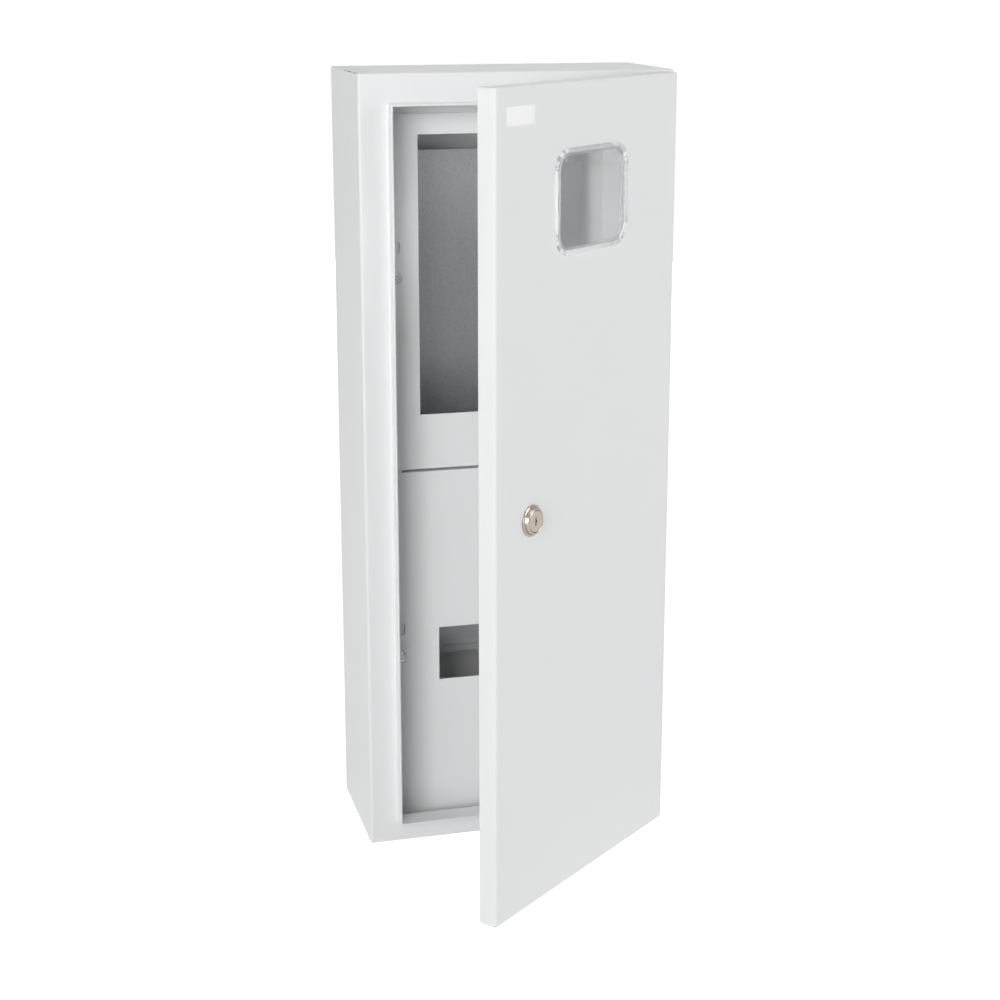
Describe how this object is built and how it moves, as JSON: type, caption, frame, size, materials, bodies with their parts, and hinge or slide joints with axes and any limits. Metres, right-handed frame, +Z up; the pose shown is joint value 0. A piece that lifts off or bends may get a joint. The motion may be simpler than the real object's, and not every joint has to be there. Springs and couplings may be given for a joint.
{
  "type": "electric meter box",
  "caption": "Surface-mounted sheet-steel meter box with hinged door, viewing window, cam lock, screwed inner panels, meter plate and breaker rail",
  "frame": {"origin": "centre of the wall-hole pattern, on the outside of the back wall", "axes": "+X to the right seen from the front, +Y out through the back towards the wall, +Z up; at rest the door stands open as in the picture"},
  "size_m": [0.26, 0.2949, 0.65],
  "materials": {
    "painted_steel": "fine powder coat",
    "zinc_steel": "zinc coat, dull",
    "nickel": "nickel plate",
    "brass": "machined",
    "blue_plastic": "moulded",
    "clear_plastic": "clear moulding",
    "foam": "foam strip",
    "label_film": "plain film"
  },
  "bodies": {
    "enclosure": {"enclosure_body": "painted_steel", "upper_panel": "painted_steel", "lower_panel": "painted_steel", "left_side_bracket": "painted_steel", "right_side_bracket": "painted_steel", "top_support_strip": "painted_steel", "bottom_support_strip": "painted_steel", "panel_screws": "zinc_steel", "meter_plate": "zinc_steel", "plate_standoffs": "zinc_steel", "plate_screws": "zinc_steel", "din_rail": "zinc_steel", "left_rail_foot": "zinc_steel", "right_rail_foot": "zinc_steel", "rail_screws": "zinc_steel", "neutral_bar": "brass", "neutral_bar_screws": "zinc_steel", "neutral_holders": "blue_plastic", "earth_bar": "brass", "earth_bar_screws": "zinc_steel", "earth_bar_posts": "zinc_steel", "shell_earth_stud": "zinc_steel", "shell_earth_washer": "zinc_steel", "shell_earth_nut": "zinc_steel", "upper_shell_leaf": "painted_steel", "lower_shell_leaf": "painted_steel", "upper_hinge_pin": "zinc_steel", "lower_hinge_pin": "zinc_steel"},
    "door": {"door_pan": "painted_steel", "window_pane": "clear_plastic", "door_gasket": "foam", "door_label": "label_film", "upper_door_leaf": "painted_steel", "lower_door_leaf": "painted_steel", "door_earth_stud": "zinc_steel", "door_earth_washer": "zinc_steel", "door_earth_nut": "zinc_steel", "lock_housing": "nickel", "lock_nut": "nickel"},
    "lock": {"lock_plug": "nickel", "lock_cam": "zinc_steel", "cam_screw": "zinc_steel"}
  },
  "joints": [
    {"name": "door_hinge", "type": "hinge", "parent": "enclosure", "child": "door", "pos_m": [0.123, -0.1314, 0], "axis": [0, 0, 1], "range_deg": [-40, 70]},
    {"name": "lock_turn", "type": "hinge", "parent": "door", "child": "lock", "pos_m": [-0.03212, -0.26156, -0.0025], "axis": [-0.6428, 0.766, 0], "range_deg": [0, 90]}
  ]
}
